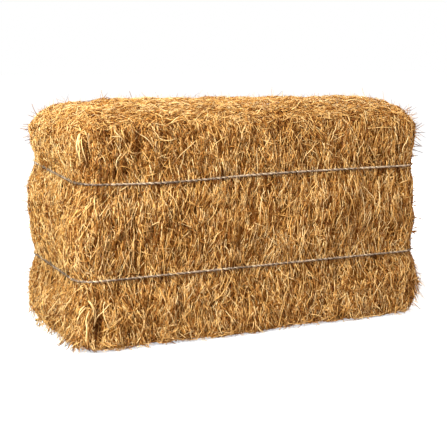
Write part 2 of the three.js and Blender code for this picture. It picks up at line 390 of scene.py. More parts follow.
lie = {  # how far straws stray from the grain, in radians
    "sides": 0.17,
    "bands": 0.22,  # above and below the twines
    "mixed": 0.10,
    "ends": 0.62,
    "foot": 0.16,  # of the ends
    "top": 0.30,
    "least": 0.10,
    "swirl": 0.15,
    "fineSwirl": 0.12,
    "splay": 0.42,  # low on the left end they lean down and back
    "splayHeight": 0.14,
    "kinked": 0.13,  # the share of straws with a kink
    "kink": 0.6,
    "shoulder": (0.45, 0.4),  # how far the surface faces up where straws begin to lie lengthways
    "bandsFrom": (0.4, 0.2),  # where the bands begin, in halves of the height, and their soft edge
}

room = np.array([0.031, 0.017, 0.021])  # how far straws may stand out of the bale's box
clearance = {"most": 0.002, "gap": 0.0003}  # off the floor: a straw's half width, up to most, and a gap

swirl = waves(0.13)
fineSwirl = waves(0.04)
toneDrift = waves(0.11)
mixing = waves(0.15)


def rootsOnFaces(count):
    # random places on the bale's box, pressed onto its surface
    faces = {
        "front": (0, 2, 1, -halfDepth), "back": (0, 2, 1, halfDepth),
        "left": (1, 2, 0, -halfLength), "right": (1, 2, 0, halfLength),
        "top": (0, 1, 2, topHeight), "bottom": (0, 1, 2, 0.0),
    }
    low = np.array([-halfLength, -halfDepth, 0.0])
    size = np.array([2 * halfLength, 2 * halfDepth, topHeight])
    weights = np.array([size[a] * size[b] * faceShares[name] for name, (a, b, _, _) in faces.items()])
    picks = rng.choice(len(faces), count, p=weights / weights.sum())
    points = low + rng.random((count, 3)) * size
    for i, (_, _, axis, place) in enumerate(faces.values()):
        points[picks == i, axis] = place
    return settle(points, np.zeros(count))[0]


def paintedLightAndShadeAt(points):
    # the painted light and shade: how much paler or darker the front is there
    x, y, z = points.T
    shade = sum(tone * bell((x - atX) / width) * bell((z - atZ) / height)
                for atX, atZ, width, height, tone in paintedFrontLightAndShade)
    return shade * (y < -halfDepth / 2)


def facesLeft(outs):
    return outs[:, 0] < -0.5


def lowOnEnd(points):
    # 0 to 1 down to the floor over the height in which the straws splay
    return np.clip(1 - points[:, 2] / lie["splayHeight"], 0, 1)


def pickTones(kind, count):
    # random tones between a kind's darkest and palest
    darkest, palest = kind["tone"]
    extremes = toneShifts["extremes"]
    return darkest + (palest - darkest) * rng.beta(extremes, extremes, count)


def grainAt(points, outs):
    # the way the straw lies: up and over the bale, across its length
    around = np.cross(np.array([1.0, 0.0, 0.0]), outs)
    around[:, 2] += np.abs(outs[:, 0]) * np.where(points[:, 1] < 0, -1.0, 1.0)
    return unit(around - outs * (around * outs).sum(axis=1, keepdims=True))


def turned(ways, outs, angles):
    return ways * np.cos(angles)[:, None] + np.cross(outs, ways) * np.sin(angles)[:, None]


def besideTwine(points, heights, over):
    # straws pass under the twine, and a few over it
    for height in twineHeights:
        near = bell((trueHeight(points) - height) / baleShape["grooveReach"])
        heights = heights + np.where(over, 0.5, -1.0) * baleShape["groove"] * near
    return heights


def startAngles(points, outs, stray):
    # how each straw is turned from the grain where it starts
    count = len(points)
    facing, reach = lie["shoulder"]
    flatness = np.clip((outs[:, 2] - facing) / reach, 0, 1)
    level = rng.random(count) < flatness
    end = np.abs(outs[:, 0])
    start, edge = lie["bandsFrom"]
    offMiddle = np.abs(trueHeight(points) / topHeight - 0.5) * 2
    spread = lie["sides"] + lie["mixed"] * mixing(points)
    spread = spread + lie["bands"] * np.clip((offMiddle - start) / edge, 0, 1)
    low = lowOnEnd(points)
    spread = spread + (lie["ends"] + (lie["foot"] - lie["ends"]) * low - spread) * end
    spread = np.where(level, lie["top"], np.clip(spread, lie["least"], None))
    angles = rng.normal(size=count) * spread
    angles = angles + lie["swirl"] * swirl(points) + lie["fineSwirl"] * fineSwirl(points)
    angles -= np.where(facesLeft(outs), lie["splay"] * np.sqrt(low), 0.0)
    angles += np.where(level, math.pi / 2, 0.0)
    return np.where(rng.random(count) < stray, rng.uniform(-math.pi / 2, math.pi / 2, count), angles)


def strew(kind):
    # walks every straw of a kind over the surface, ring by ring
    count, rings = kind["count"], kind["rings"]
    points = rootsOnFaces(count)
    _, outs = surfaceAt(points)
    ways = turned(grainAt(points, outs), outs, startAngles(points, outs, kind["stray"]))
    ways *= np.where(rng.random(count) < 0.5, -1.0, 1.0)[:, None]
    shortest, longest = kind["length"]
    lengths = shortest + (longest - shortest) * rng.beta(*strewn["lengths"], count)
    step = lengths / (rings - 1)
    bend = rng.normal(size=count) * kind["bend"] * step
    wave = rng.normal(size=count) * kind["wave"]
    phase = rng.uniform(0, 2 * math.pi, count)
    kinkRing = rng.integers(1, rings, count)
    kink = np.where(rng.random(count) < lie["kinked"], rng.normal(size=count) * lie["kink"], 0.0)
    one, other = rng.uniform(*kind["ends"], (2, count))
    rise = rng.uniform(*kind["rise"], count)
    over = rng.random(count) < kind["over"]
    # how far in a pit or hollow each straw starts, for its painted shade
    pit = pitsAt(points)[0]
    lines, normals = np.empty((count, rings, 3)), np.empty((count, rings, 3))
    points = points - ways * (lengths / 2)[:, None]
    for ring in range(rings):
        t = ring / (rings - 1)
        heights = one + (other - one) * t + rise * math.sin(math.pi * t) ** strewn["arch"]
        points, outs = settle(points, besideTwine(points, heights, over))
        lines[:, ring], normals[:, ring] = points, outs
        ways = unit(ways - outs * (ways * outs).sum(axis=1, keepdims=True))
        turn = bend + wave * np.cos(phase + ring * strewn["waveStep"])
        ways = turned(ways, outs, turn + np.where(kinkRing == ring, kink, 0.0))
        points = points + ways * step[:, None]
    halfWidth = rng.uniform(*kind["halfWidth"], count)[:, None]
    taper = strewn["taper"] * rng.random(count)[:, None]
    widths = halfWidth * (1 - taper * np.linspace(0, 1, rings) ** 2)
    thick = widths * rng.uniform(*kind["flat"], count)[:, None]
    starts, outs = lines[:, 0], normals[:, 0]
    # how far the surface faces up, for the painted light on the top
    facing, reach = toneShifts["flatFrom"]
    flat = np.clip((outs[:, 2] - facing) / reach, 0, 1)
    splayed = lowOnEnd(starts) * facesLeft(outs)
    # its tone: random and drifting, darker low on the left end, with painted light on the top, painted
    # shade in pits and hollows, and broad painted light and shade on the front
    tone = pickTones(kind, count) + toneShifts["drift"] * toneDrift(starts) + paintedLightAndShadeAt(starts)
    tone += toneShifts["paintedTopLight"] * flat + toneShifts["pit"] * pit + toneShifts["splay"] * splayed
    return cutFromSheet(lines, normals, widths, thick, tone, bundled=kind.get("bundled", False))


def cutFromSheet(lines, normals, widths, thick, tone, bundled=False):
    # keeps straws off the floor and inside their room, and lays each on the straw sheet
    count = len(lines)
    lines[..., 2] = np.maximum(lines[..., 2], np.minimum(widths, clearance["most"]) + clearance["gap"])
    lines = np.clip(lines, cadBox[0] - room, cadBox[1] + room)
    single, strip, margin = strawSheet["single"], strawSheet["strip"], strawSheet["margin"]
    if bundled:
        low, high = single + margin, 1 - margin - strawSheet["bundle"]
    else:
        low, high = margin, single - margin - strip
    return {
        "lines": lines, "outs": normals, "widths": widths, "thick": thick,
        "roll": np.full(count, math.pi / 6) if bundled else rng.uniform(0, 2 * math.pi, count),
        "across": low + (high - low) * np.clip(tone, 0, 1),
        "strip": np.full(count, strawSheet["bundle"] if bundled else strip),
        "start": rng.uniform(0.02, 0.60, count),
    }


# loose ends that stand off the surface. Some kinds start below a height, on one side or in a box at a
# corner, and some have a way of their own: tufts and spikes at the right end, a brush that hangs at
# its corner, bristles at the back of the left end, and its heel, where the straws lean back
looseEnds = {
    "fuzz": {"count": 4000, "rings": 2, "length": (0.008, 0.020), "halfWidth": (0.0004, 0.0008),
             "tone": (0.05, 0.85), "curl": 0.0, "lift": (0.30, 0.80), "sag": 0.05},
    "surface": {"count": 1200, "rings": 4, "length": (0.012, 0.040), "halfWidth": (0.0004, 0.0009),
                "tone": (0.00, 0.85), "curl": 0.7, "lift": (0.10, 0.50), "sag": 0.08},
    "foot": {"count": 420, "rings": 3, "length": (0.014, 0.036), "halfWidth": (0.0004, 0.0011),
             "tone": (0.25, 0.95), "curl": 0.3, "lift": (0.10, 0.50), "sag": 0.20, "height": 0.035},
    "tufts": {"count": 90, "rings": 3, "length": (0.014, 0.034), "halfWidth": (0.0005, 0.0010),
              "tone": (0.00, 0.50), "curl": 0.5, "lift": (0.20, 0.70), "sag": 0.02,
              "corner": ((0.365, -0.150, 0.400), (0.404, 0.120, 0.470))},
    "heel": {"count": 260, "rings": 3, "length": (0.022, 0.050), "halfWidth": (0.0005, 0.0011),
             "tone": (0.05, 0.90), "curl": 0.25, "lift": (0.02, 0.30), "sag": 0.05, "height": 0.140,
             "side": "left", "way": (0.0, 0.38, -0.92)},
    "spikes": {"count": 70, "rings": 3, "length": (0.014, 0.034), "halfWidth": (0.0008, 0.0014),
               "tone": (0.00, 0.12), "curl": 0.3, "lift": (0.35, 0.85), "sag": 0.02,
               "corner": ((0.388, -0.165, 0.050), (0.405, -0.130, 0.440))},
    "bristles": {"count": 110, "rings": 2, "length": (0.014, 0.027), "halfWidth": (0.0008, 0.0013),
                 "tone": (0.00, 0.40), "curl": 0.0, "lift": (0.40, 0.80), "sag": 0.04,
                 "corner": ((-0.396, 0.138, 0.030), (-0.368, 0.172, 0.455))},
    "brush": {"count": 190, "rings": 4, "length": (0.022, 0.050), "halfWidth": (0.0007, 0.0013),
              "tone": (0.00, 0.70), "curl": 0.15, "lift": (0.00, 0.12), "sag": 0.0,
              "corner": ((0.380, -0.175, 0.058), (0.402, -0.125, 0.122)), "way": (0.27, -0.05, -0.96)},
}

looseCommon = {
    "rooted": 0.004,  # how far inside the surface a loose straw starts
    "flat": 0.6,
    "taper": 0.6,
    "stray": 0.25,  # how much those with a way of their own differ in it
    "lowest": 1.5,  # above 1, more of them start near the floor
}


def growLoose(kind):
    count, rings = kind["count"], kind["rings"]
    points = rootsOnFaces(count)
    if "corner" in kind:
        points, _ = settle(rng.uniform(*kind["corner"], (count, 3)), np.zeros(count))
    if kind.get("side") == "left":
        points[:, 0] = -halfLength
        points[:, 1] = rng.uniform(-halfDepth, halfDepth, count)
    if "height" in kind:
        points[:, 2] = kind["height"] * rng.random(count) ** looseCommon["lowest"]
        points, _ = settle(points, np.zeros(count))
    _, outs = surfaceAt(points)
    ways = turned(grainAt(points, outs), outs, rng.uniform(-math.pi, math.pi, count))
    if "way" in kind:
        ways = unit(np.array(kind["way"]) + rng.normal(size=(count, 3)) * looseCommon["stray"])
    lift = rng.uniform(*kind["lift"], count)[:, None]
    ways = unit(ways * (1 - lift) + outs * lift)
    lengths = rng.uniform(*kind["length"], count)
    curl = rng.normal(size=(count, 3)) * kind["curl"]
    lines = np.empty((count, rings, 3))
    points = points - outs * looseCommon["rooted"]
    for ring in range(rings):
        lines[:, ring] = points
        ways = ways + curl / rings
        ways[:, 2] -= kind["sag"]
        ways = unit(ways)
        points = points + ways * (lengths / (rings - 1))[:, None]
    normals = np.repeat(outs[:, None], rings, axis=1)
    tapers = 1 - looseCommon["taper"] * np.linspace(0, 1, rings) ** 2
    widths = rng.uniform(*kind["halfWidth"], count)[:, None] * tapers
    return cutFromSheet(lines, normals, widths, widths * looseCommon["flat"], pickTones(kind, count))


# pale straws and leaves that catch the eye, in groups on the front and on the left end: the part of
# the face that a group takes, in shares of its width and height, how far its straws lean from
# upright, in radians, and how much they bow, as a share of their length
paleStraws = {
    "front": [
        {"count": 6, "across": (0.01, 0.05), "up": (0.82, 0.88), "lean": (-0.35, 0.10),
         "bow": (-0.12, 0.12), "length": (0.050, 0.065), "halfWidth": (0.0018, 0.0028)},
        {"count": 8, "across": (0.07, 0.32), "up": (0.77, 0.90), "lean": (-1.2, 1.2),
         "bow": (-0.30, 0.30), "length": (0.030, 0.060), "halfWidth": (0.0013, 0.0015)},
        {"count": 8, "across": (0.01, 0.10), "up": (0.09, 0.20), "lean": (-0.4, 0.9),
         "bow": (-0.15, 0.15), "length": (0.032, 0.070), "halfWidth": (0.0018, 0.0028)},
        {"count": 6, "across": (0.40, 0.95), "up": (0.78, 0.90), "lean": (-0.8, 0.8),
         "bow": (-0.15, 0.15), "length": (0.030, 0.050), "halfWidth": (0.0015, 0.0020)},
        {"count": 3, "across": (0.30, 0.92), "up": (0.55, 0.63), "lean": (-0.9, 0.9),
         "bow": (-0.15, 0.15), "length": (0.040, 0.065), "halfWidth": (0.0013, 0.0014)},
    ],
    "left": [
        {"count": 3, "across": (0.10, 0.30), "up": (0.78, 0.88), "lean": (0.3, 0.8),
         "bow": (-0.12, 0.12), "length": (0.045, 0.060), "halfWidth": (0.0015, 0.0022)},
        {"count": 2, "across": (0.15, 0.45), "up": (0.10, 0.16), "lean": (-1.1, -0.8),
         "bow": (-0.10, 0.10), "length": (0.065, 0.085), "halfWidth": (0.0020, 0.0024)},
    ],
}

paleCommon = {
    "rings": 8,
    "height": 0.0055,  # how high they lie on the surface
    "rise": 0.0015,  # and how much more in the middle
    "width": 0.72,  # how wide they are made, of the widths above
    "flat": 0.35,
    "tone": (0.80, 0.96),
}

placing = np.random.default_rng(11)  # their own, so that a change to them leaves the strewn straws alone


def layPale(groups, face):
    share = np.linspace(0, 1, paleCommon["rings"])
    reach = halfLength if face == "front" else halfDepth
    sideways, upwards, halfWidths = [], [], []
    for group in groups:
        across, up, lean, bow, length, halfWidth = [
            placing.uniform(*group[name], (group["count"], 1))
            for name in ("across", "up", "lean", "bow", "length", "halfWidth")
        ]
        along = length * (share - 0.5)
        aside = length * bow * np.sin(math.pi * share)
        sideways.append(reach * (2 * across - 1) + along * np.sin(lean) + aside * np.cos(lean))
        upwards.append(topHeight * up + along * np.cos(lean) - aside * np.sin(lean))
        halfWidths.append(halfWidth)
    sideways, upwards, halfWidths = [np.concatenate(rows) for rows in (sideways, upwards, halfWidths)]
    if face == "front":
        points = np.stack([sideways, np.full_like(sideways, -halfDepth), upwards], -1)
    else:
        points = np.stack([np.full_like(sideways, -halfLength), sideways, upwards], -1)
    rise = paleCommon["rise"] * np.sin(math.pi * share)
    heights = np.tile(paleCommon["height"] + rise, len(points))
    lines, outs = [places.reshape(points.shape) for places in settle(points.reshape(-1, 3), heights)]
    taper = 0.45 + 0.55 * np.sin(math.pi * np.linspace(0.12, 0.9, paleCommon["rings"]))
    widths = paleCommon["width"] * halfWidths * taper
    tone = rng.uniform(*paleCommon["tone"], len(lines))
    return cutFromSheet(lines, outs, widths, widths * paleCommon["flat"], tone)


# thin dark stems that stand out at the corners: the box they start in, in shares of half the bale's
# length, half its depth and its height, and the way they stand
twigGroups = [
    {"count": 2, "from": ((-0.97, -0.20, 0.92), (-0.95, 0.65, 0.96)), "way": (-0.6, 0.0, 0.7)},
    {"count": 3, "from": ((-0.50, 0.70, 0.97), (0.90, 0.75, 0.99)), "way": (0.0, 0.0, 1.0)},
    {"count": 2, "from": ((0.93, -0.75, 0.94), (0.95, -0.65, 0.96)), "way": (0.9, -0.2, 0.2)},
    {"count": 4, "from": ((0.97, -0.90, 0.50), (0.99, -0.80, 0.85)), "way": (0.8, -0.3, -0.2)},
    {"count": 4, "from": ((0.97, -0.97, 0.12), (0.99, -0.93, 0.30)), "way": (0.5, -0.1, -0.8)},
    {"count": 1, "from": ((-0.99, 0.70, 0.25), (-0.97, 0.75, 0.32)), "way": (-0.5, 0.0, -0.8)},
]

twigCommon = {
    "rings": 6,
    "length": (0.018, 0.042),
    "rooted": 0.004,
    "stray": 0.22,  # how much they differ in their way
    "bow": 0.06,
    "halfWidth": (0.0010, 0.0006),
    "flat": 0.8,
    "tone": (0.0, 0.12),
}


def layTwigs():
    rings = twigCommon["rings"]
    share = np.linspace(0, 1, rings)[:, None]
    stems = []
    for group in twigGroups:
        count = group["count"]
        roots = placing.uniform(*group["from"], (count, 3)) * [halfLength, halfDepth, topHeight]
        roots, _ = settle(roots, np.full(count, -twigCommon["rooted"]))
        ways = unit(np.array(group["way"]) + placing.normal(size=(count, 3)) * twigCommon["stray"])
        length = placing.uniform(*twigCommon["length"], (count, 1, 1))
        bow = placing.normal(size=(count, 1, 3)) * twigCommon["bow"] * np.sin(math.pi * share)
        stems.append(roots[:, None] + length * (ways[:, None] * share + bow))
    lines = np.concatenate(stems)
    outs = np.broadcast_to(np.array([0.0, -1.0, 0.3]), lines.shape)
    widths = np.linspace(*twigCommon["halfWidth"], rings) * np.ones((len(lines), 1))
    tone = rng.uniform(*twigCommon["tone"], len(lines))
    return cutFromSheet(lines, outs, widths, widths * twigCommon["flat"], tone)


batches = [strew(kind) for kind in strawKinds.values()]
batches += [growLoose(kind) for kind in looseEnds.values()]
batches += [layPale(groups, face) for face, groups in paleStraws.items()]
batches.append(layTwigs())
print("strewn", sum(len(batch["start"]) for batch in batches), "straws")


class Wire:  # a shader socket that can stand in a sum
    def __init__(self, shader, socket):
        self.shader = shader
        self.socket = socket

    def maths(self, operation, *values):
        return self.shader.node("ShaderNodeMath", {"operation": operation}, *values)

    def __add__(self, other):
        return self.maths("ADD", self, other)

    def __radd__(self, other):
        return self.maths("ADD", other, self)

    def __sub__(self, other):
        return self.maths("SUBTRACT", self, other)

    def __rsub__(self, other):
        return self.maths("SUBTRACT", other, self)

    def __mul__(self, other):
        return self.maths("MULTIPLY", self, other)

    def __rmul__(self, other):
        return self.maths("MULTIPLY", other, self)


class Shader:  # a material and the one way its nodes are made
    def __init__(self, name):
        self.material = bpy.data.materials.new(name)
        self.material.use_nodes = True
        self.tree = self.material.node_tree
        self.surface = self.tree.nodes["Principled BSDF"]

    def node(self, kind, settings=None, *values, output=0, **named):
        made = self.tree.nodes.new(kind)
        for key, value in (settings or {}).items():
            if key == "stops":
                self.setStops(made.color_ramp, value)
            else:
                setattr(made, key, value)
        for i, value in enumerate(values):
            self.feed(made.inputs[i], value)
        for key, value in named.items():
            self.feed(made.inputs[key.replace("_", " ")], value)
        return Wire(self, made.outputs[output])

    def setStops(self, ramp, stops):
        while len(ramp.elements) < len(stops):
            ramp.elements.new(0.5)
        for element, (place, colour) in zip(ramp.elements, stops):
            element.position = place
            element.color = (*colour, 1)

    def feed(self, socket, value):
        if isinstance(value, Wire):
            self.tree.links.new(value.socket, socket)
        else:
            socket.default_value = value

    def sheet(self):
        # how far across and how far along the straw sheet
        place = self.node("ShaderNodeUVMap", {"uv_map": strawSheet["map"]})
        across = self.node("ShaderNodeSeparateXYZ", None, place)
        return across, Wire(self, across.socket.node.outputs[1])

    def noise(self, x, y, detail, roughness=0.5):
        place = self.node("ShaderNodeCombineXYZ", None, x, y, 0.0)
        return self.node("ShaderNodeTexNoise", {"noise_dimensions": "2D"}, Vector=place, Scale=1.0,
                         Detail=detail, Roughness=roughness)

    def finish(self, **named):
        for key, value in named.items():
            self.feed(self.surface.inputs[key.replace("_", " ")], value)
        return self.material


strawLook = {
    "stops": [  # dark to pale
        (0.00, (0.140, 0.032, 0.001)),
        (0.20, (0.370, 0.128, 0.018)),
        (0.45, (0.650, 0.305, 0.078)),
        (0.70, (0.830, 0.465, 0.160)),
        (1.00, (0.940, 0.640, 0.330)),
    ],
    "streaks": (260, 6, 2.0, 0.6),  # fine lines: how many across and along the sheet, how detailed
    "blotches": (40, 50, 3.0, 0.65),
    "stripes": (80, 9, 1.0, 0.5),  # straws in the bundles' part of the sheet
    "streakWeight": 0.30,
    "blotchWeight": 0.70,
    "stripeWeight": 2.4,
    "bundleTone": 0.38,
    "stripeRelief": 3,
    "roughness": 0.50,
    "unevenGloss": 0.3,
}


def makeStraw():
    look = Shader("straw")
    across, along = look.sheet()
    streaks, blotches, stripes = [
        look.noise(across * strawLook[name][0], along * strawLook[name][1], *strawLook[name][2:])
        for name in ("streaks", "blotches", "stripes")
    ]
    single = across * (1 / strawSheet["single"]) + (streaks - 0.5) * strawLook["streakWeight"]
    bundle = (stripes - 0.5) * strawLook["stripeWeight"] + strawLook["bundleTone"]
    isBundle = look.node("ShaderNodeMath", {"operation": "GREATER_THAN"}, across, strawSheet["single"])
    shade = single + (bundle - single) * isBundle + (blotches - 0.5) * strawLook["blotchWeight"]
    colour = look.node("ShaderNodeValToRGB", {"stops": strawLook["stops"]}, shade)
    relief = streaks + (stripes * strawLook["stripeRelief"] - streaks) * isBundle
    bump = look.node("ShaderNodeBump", None, Height=relief, Strength=0.35, Distance=0.0005)
    rough = strawLook["roughness"] + (blotches - 0.5) * strawLook["unevenGloss"]
    return look.finish(Base_Color=colour, Roughness=rough, Normal=bump, Specular_IOR_Level=0.22)


# painted shade: the packed straw under the loose straws is dark brown, as the shade in the gaps between
# them
packedShadeLook = {
    "stops": [
        (0.20, (0.100, 0.032, 0.004)),
        (0.50, (0.220, 0.085, 0.014)),
        (0.80, (0.400, 0.180, 0.035)),
    ],
    "across": 420.0,  # fine lines to a metre
    "along": 45.0,
}


def makePackedShade():
    look = Shader("packedStrawShade")
    place = look.node("ShaderNodeTexCoord", output=3)
    across, along = packedShadeLook["across"], packedShadeLook["along"]
    squeezed = look.node("ShaderNodeMapping", None, Vector=place, Scale=(across, across, along))
    streaks = look.node("ShaderNodeTexNoise", None, Vector=squeezed, Scale=1.0, Detail=4.0, Roughness=0.6,
                        Distortion=0.6)
    colour = look.node("ShaderNodeValToRGB", {"stops": packedShadeLook["stops"]}, streaks)
    bump = look.node("ShaderNodeBump", None, Height=streaks, Strength=0.8, Distance=0.002)
    return look.finish(Base_Color=colour, Roughness=0.8, Normal=bump, Specular_IOR_Level=0.1)


packedBody = {
    "sunk": 0.0085,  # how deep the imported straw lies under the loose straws
    "outer": 0.006,  # the solid's corners this near the surface are its outside
    "cuts": 2,
    "followed": (0.030, 0.010),  # what lies this deep stays where it is, or moves with the surface
    "seam": 0.006,  # what is this near a seam stays on its side of it
    "lowest": 0.001,
}


def packedFlake(name):
    # the flake's solid, drawn in under its straws and made uneven
    bm = bmesh.new()
    bm.from_mesh(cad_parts[name].data)
    bmesh.ops.remove_doubles(bm, verts=bm.verts, dist=1e-6)
    away = surfaceAt(np.array([v.co for v in bm.verts]))[0]
    outer = np.abs(away) < packedBody["outer"]
    bm.verts.index_update()
    edges = [e for e in bm.edges if outer[e.verts[0].index] or outer[e.verts[1].index]]
    bmesh.ops.subdivide_edges(bm, edges=edges, cuts=packedBody["cuts"], use_grid_fill=True)
    points = np.array([v.co for v in bm.verts])
    away, _ = surfaceAt(points)
    still, moving = packedBody["followed"]
    near = np.clip((away + still) / (still - moving), 0, 1)
    besideSeam = np.abs(points[:, :1] - seams).min(axis=1) < packedBody["seam"]
    target, _ = settle(points, np.full(len(points), -packedBody["sunk"]))
    moved = points + (target - points) * near[:, None]
    moved[:, 0] = np.where(besideSeam, points[:, 0], moved[:, 0])
    moved[:, 2] = np.maximum(moved[:, 2], packedBody["lowest"])
    for vertex, place in zip(bm.verts, moved):
        vertex.co = place
    mesh = bpy.data.meshes.new("packed_" + name)
    bm.to_mesh(mesh)
    bm.free()
    return mesh


def strawsOf(batch, own):
    return strawMesh({key: values[own] for key, values in batch.items()})


strawMaterial = makeStraw()
packedShadeMaterial = makePackedShade()
owners = [np.searchsorted(seams, batch["lines"][:, batch["lines"].shape[1] // 2, 0]) for batch in batches]
for i, name in enumerate(flakeNames):
    parts = [strawsOf(batch, owner == i) for batch, owner in zip(batches, owners)]
    straws = linked("straws_" + name, joinedMesh("straws_" + name, parts), strawMaterial)
    packed = linked("packed_" + name, packedFlake(name), packedShadeMaterial)
    for piece in (straws, packed):
        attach(piece, "root")
        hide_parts(name)
print("flakes made")

twine = {
    "radius": 0.0026,
    "sides": 5,  # of a strand
    "strand": 0.00125,  # radius of each of its three strands
    "offset": 0.00125,  # how far a strand runs from the middle
    "pitch": 0.013,  # length of one full twist
    "step": 0.0021,  # length of a strand between two rings
    "run": 24,  # steps in one piece of a strand
    "loopPoints": 720,
    "sunk": -0.0003,  # where its middle lies: above 0 outside the pressed surface, below 0 inside
    "tones": (0.22, 0.43, 0.60),  # of the three strands
    "patchy": (-0.20, 0.16),  # how much darker or paler some lengths are
    "leftEndShade": 0.34,  # painted shade: it is darker on the left end
    "shadeBeyond": -0.375,
    "knotRadius": 0.0040,
    "knotPart": (0.006, 0.003),  # the CAD knot's part that is looked for: half height and depth
    "knotTightness": 0.80,
    "tails": [(-1, 0.024), (1, 0.036)],  # which way each leaves the knot, and how far it hangs
    "tailOff": (0.0045, 0.003),  # how far a tail hangs off the straw at its ends, and more between
    "tailSpread": (0.003, 0.011),  # how far it starts and swings to the side
    "tailSwing": 1.9,  # in radians
    "hairs": 800,
    "hairLength": (0.003, 0.009),
    "hairWidth": 0.00016,
    "hairRoot": 0.6,  # how far from its middle a hair starts, of its radius
    "hairSpread": 1.0,
    "hairBend": 0.0008,
    "fray": 40,  # fibres at each tail's end
    "fraySpread": 0.35,
}

twineLook = {
    "stops": [
        (0.00, (0.085, 0.052, 0.034)),
        (0.30, (0.200, 0.132, 0.092)),
        (0.50, (0.325, 0.225, 0.175)),
        (0.70, (0.480, 0.335, 0.225)),
        (1.00, (0.740, 0.560, 0.390)),
    ],
    "fibres": (400, 150, 2.0, 0.6),
    "patches": (9, 16, 2.0, 0.6),
    "fibreWeight": 1.6,
    "patchWeight": 1.2,
}


def makeTwine():
    look = Shader("twine")
    tone, along = look.sheet()
    fibres, patches = [
        look.noise(tone * twineLook[name][0], along * twineLook[name][1], *twineLook[name][2:])
        for name in ("fibres", "patches")
    ]
    shade = tone + (fibres - 0.5) * twineLook["fibreWeight"] + (patches - 0.5) * twineLook["patchWeight"]
    colour = look.node("ShaderNodeValToRGB", {"stops": twineLook["stops"]}, shade)
    bump = look.node("ShaderNodeBump", None, Height=fibres, Strength=0.6, Distance=0.0004)
    return look.finish(Base_Color=colour, Roughness=0.85, Normal=bump, Specular_IOR_Level=0.1)


def resampled(path, closed):
    # the path in equal steps, a whole number of runs of them, with its last point
    if closed:
        path = np.vstack([path, path[:1]])
    lengths = np.concatenate([[0], np.linalg.norm(np.diff(path, axis=0), axis=1).cumsum()])
    runs = max(round(lengths[-1] / twine["step"] / twine["run"]), 1)
    places = np.linspace(0, lengths[-1], runs * twine["run"] + 1)
    return np.stack([np.interp(places, lengths, path[:, i]) for i in range(3)], 1), lengths[-1], runs


def besidePath(path, closed):
    # two directions square to the path at every point, carried along it without twisting
    before, after = np.roll(path, 1, axis=0), np.roll(path, -1, axis=0)
    before[0], after[-1] = (path[-2], path[1]) if closed else (path[0], path[-1])
    along = unit(after - before)
    normal = np.cross(along[0], [0.0, 0.0, 1.0])
    normals = []
    for way in along:
        normal = unit(normal - way * (normal @ way))
        normals.append(normal)
    normals = np.array(normals)
    return normals, np.cross(along, normals)


def strandsAlong(path, closed, scale=1.0):
    # three strands twisted round a path, a whole number of times if it is closed
    path, length, runs = resampled(path, closed)
    turns = round(length / twine["pitch"]) if closed else length / twine["pitch"]
    one, other = besidePath(path, closed)
    spin = np.linspace(0, 2 * math.pi * turns, len(path))[:, None]
    pick = np.arange(runs)[:, None] * twine["run"] + np.arange(twine["run"] + 1)
    # painted shade: lengths on the left end are darker
    shaded = path[::twine["run"], 0][:runs] < twine["shadeBeyond"]
    patchy = rng.uniform(*twine["patchy"], runs) - twine["leftEndShade"] * shaded
    lines, outs, tones = [], [], []
    for strand, tone in enumerate(twine["tones"]):
        angle = spin + strand * 2 * math.pi / 3
        away = np.cos(angle) * one + np.sin(angle) * other
        lines.append((path + scale * twine["offset"] * away)[pick])
        outs.append(away[pick])
        tones.append(np.clip(tone + patchy, 0.02, 0.9))
    widths = np.full((3 * runs, twine["run"] + 1), scale * twine["strand"])
    return {
        "lines": np.concatenate(lines), "outs": np.concatenate(outs), "widths": widths, "thick": widths,
        "roll": np.zeros(3 * runs), "across": np.concatenate(tones),
        "strip": np.full(3 * runs, strawSheet["strip"]), "start": rng.uniform(0.02, 0.85, 3 * runs),
    }


def loopPath(height):
    # the level line round the bale on which the middle of the twine lies
    angle = np.linspace(0, 2 * math.pi, twine["loopPoints"], endpoint=False)
    cos, sin = np.cos(angle), np.sin(angle)
    scale = 1 / np.maximum(np.abs(cos) / halfLength, np.abs(sin) / halfDepth)
    points = np.column_stack([cos * scale, sin * scale, np.full(len(angle), height)])
    for _ in range(6):
        points[:, 2] = height + slipAt(points[:, 0], points[:, 1], height)
        away, way = surfaceAt(points)
        points += way * (twine["sunk"] - away)[:, None]
    return points


def knotPlace(node, height):
    # where the CAD twine stands out furthest at the back, and how high it is there
    points = meshPoints(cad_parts[node].data)
    raised = height + slipAt(0.0, halfDepth, height)
    halfHeight, depth = twine["knotPart"]
    level = points[np.abs(points[:, 2] - raised) < halfHeight]
    return level[level[:, 1] > level[:, 1].max() - depth, 0].mean(), raised


def knotPath(x, height):
    # an overhand knot is a trefoil
    radius = twine["knotRadius"]
    back = halfDepth - baleShape["backWaist"]
    t = np.linspace(0, 4 * math.pi, 160, endpoint=False)
    bulge = (2 + np.cos(1.5 * t)) * 0.5 * radius
    depth = back + twine["radius"] + 0.5 * radius * (1 + np.sin(1.5 * t))
    return np.column_stack([x + bulge * np.cos(t), depth, height + bulge * np.sin(t)])


def tailPath(x, height, side, drop):
    # a tail hangs from the knot against the straw, out to its side
    t = np.linspace(0, 1, 40)
    z = height - drop * t
    pull = bell(drop * t / baleShape["waistReach"])
    ends, between = twine["tailOff"]
    y = halfDepth - baleShape["backWaist"] * pull + ends + between * np.sin(math.pi * t)
    start, swing = twine["tailSpread"]
    return np.column_stack([x + side * (start + swing * np.sin(twine["tailSwing"] * t)), y, z])


